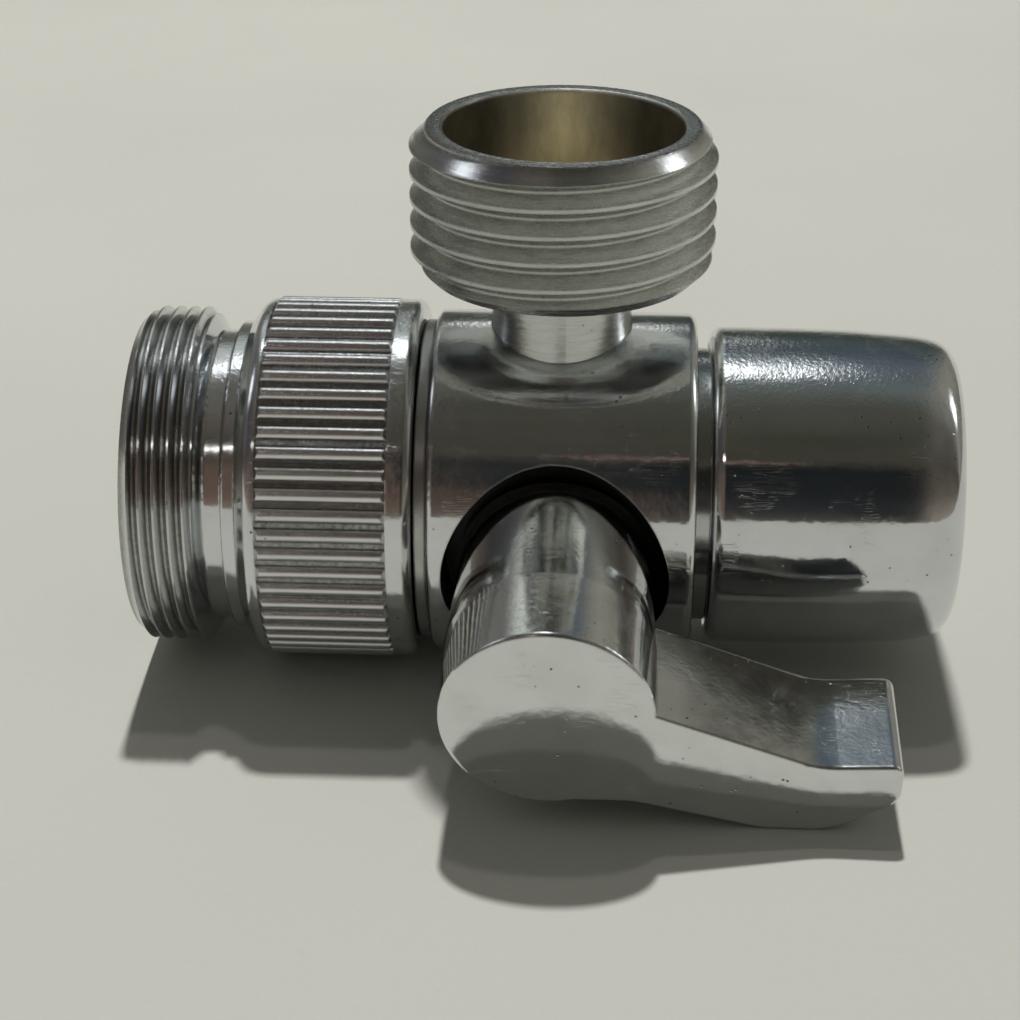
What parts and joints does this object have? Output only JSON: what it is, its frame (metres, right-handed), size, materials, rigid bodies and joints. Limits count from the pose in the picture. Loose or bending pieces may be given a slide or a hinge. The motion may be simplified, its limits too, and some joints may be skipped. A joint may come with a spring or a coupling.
{
  "type": "diverter valve",
  "caption": "Chrome faucet diverter valve: knurled swivel inlet coupling, ball body with lever handle, threaded side outlet, aerator outlet.",
  "frame": {"origin": "on the axis of the run, where the full M24 x 1 inlet thread starts; the inlet end face is 0.85 mm in front of it", "axes": "+X along the run from the inlet thread to the aerator, +Z along the side outlet, the handle leaves towards -Y and leans 9.5 degrees down"},
  "size_m": [0.0574, 0.0398, 0.0394],
  "materials": {
    "chrome_plate": "polished",
    "chrome_ball": "polished",
    "bright_steel": "satin",
    "brass": "machined",
    "rubber_black": "matte",
    "seat_white": "smooth",
    "plastic_white": "moulded",
    "plastic_grey": "moulded",
    "steel_screen": "woven",
    "dark_steel": "black oxide"
  },
  "bodies": {
    "valve": {"valve_body": "chrome_plate", "side_outlet_nipple": "chrome_plate", "nipple_oring": "rubber_black", "side_port_seat": "seat_white", "inlet_ball_seat": "seat_white", "outlet_ball_seat": "seat_white", "inlet_spigot": "brass", "spigot_oring": "rubber_black", "swivel_washer": "bright_steel", "stem_gland": "brass", "stem_thrust_washer": "seat_white", "outlet_connector": "chrome_plate", "connector_oring": "rubber_black", "aerator_shell": "chrome_plate", "aerator_washer": "rubber_black", "flow_restrictor": "plastic_white", "aerator_housing": "plastic_white", "aerator_screen_coarse": "steel_screen", "aerator_screen_fine": "steel_screen", "stream_straightener": "plastic_grey"},
    "lever": {"handle": "chrome_plate", "handle_set_screw": "dark_steel", "valve_stem": "brass", "stem_oring_inner": "rubber_black", "stem_oring_outer": "rubber_black", "valve_ball": "chrome_ball"},
    "inlet_coupling": {"swivel_nut": "chrome_plate", "inlet_adapter": "chrome_plate", "inlet_washer": "rubber_black", "faucet_washer": "rubber_black"}
  },
  "joints": [
    {"name": "handle_turn", "type": "hinge", "parent": "valve", "child": "lever", "pos_m": [0.02885, 0, 0], "axis": [0, 0.9863, 0.165], "range_deg": [0, 90]},
    {"name": "coupling_spin", "type": "hinge", "parent": "valve", "child": "inlet_coupling", "pos_m": [0.01345, 0, 0], "axis": [1, 0, 0], "continuous": true}
  ]
}
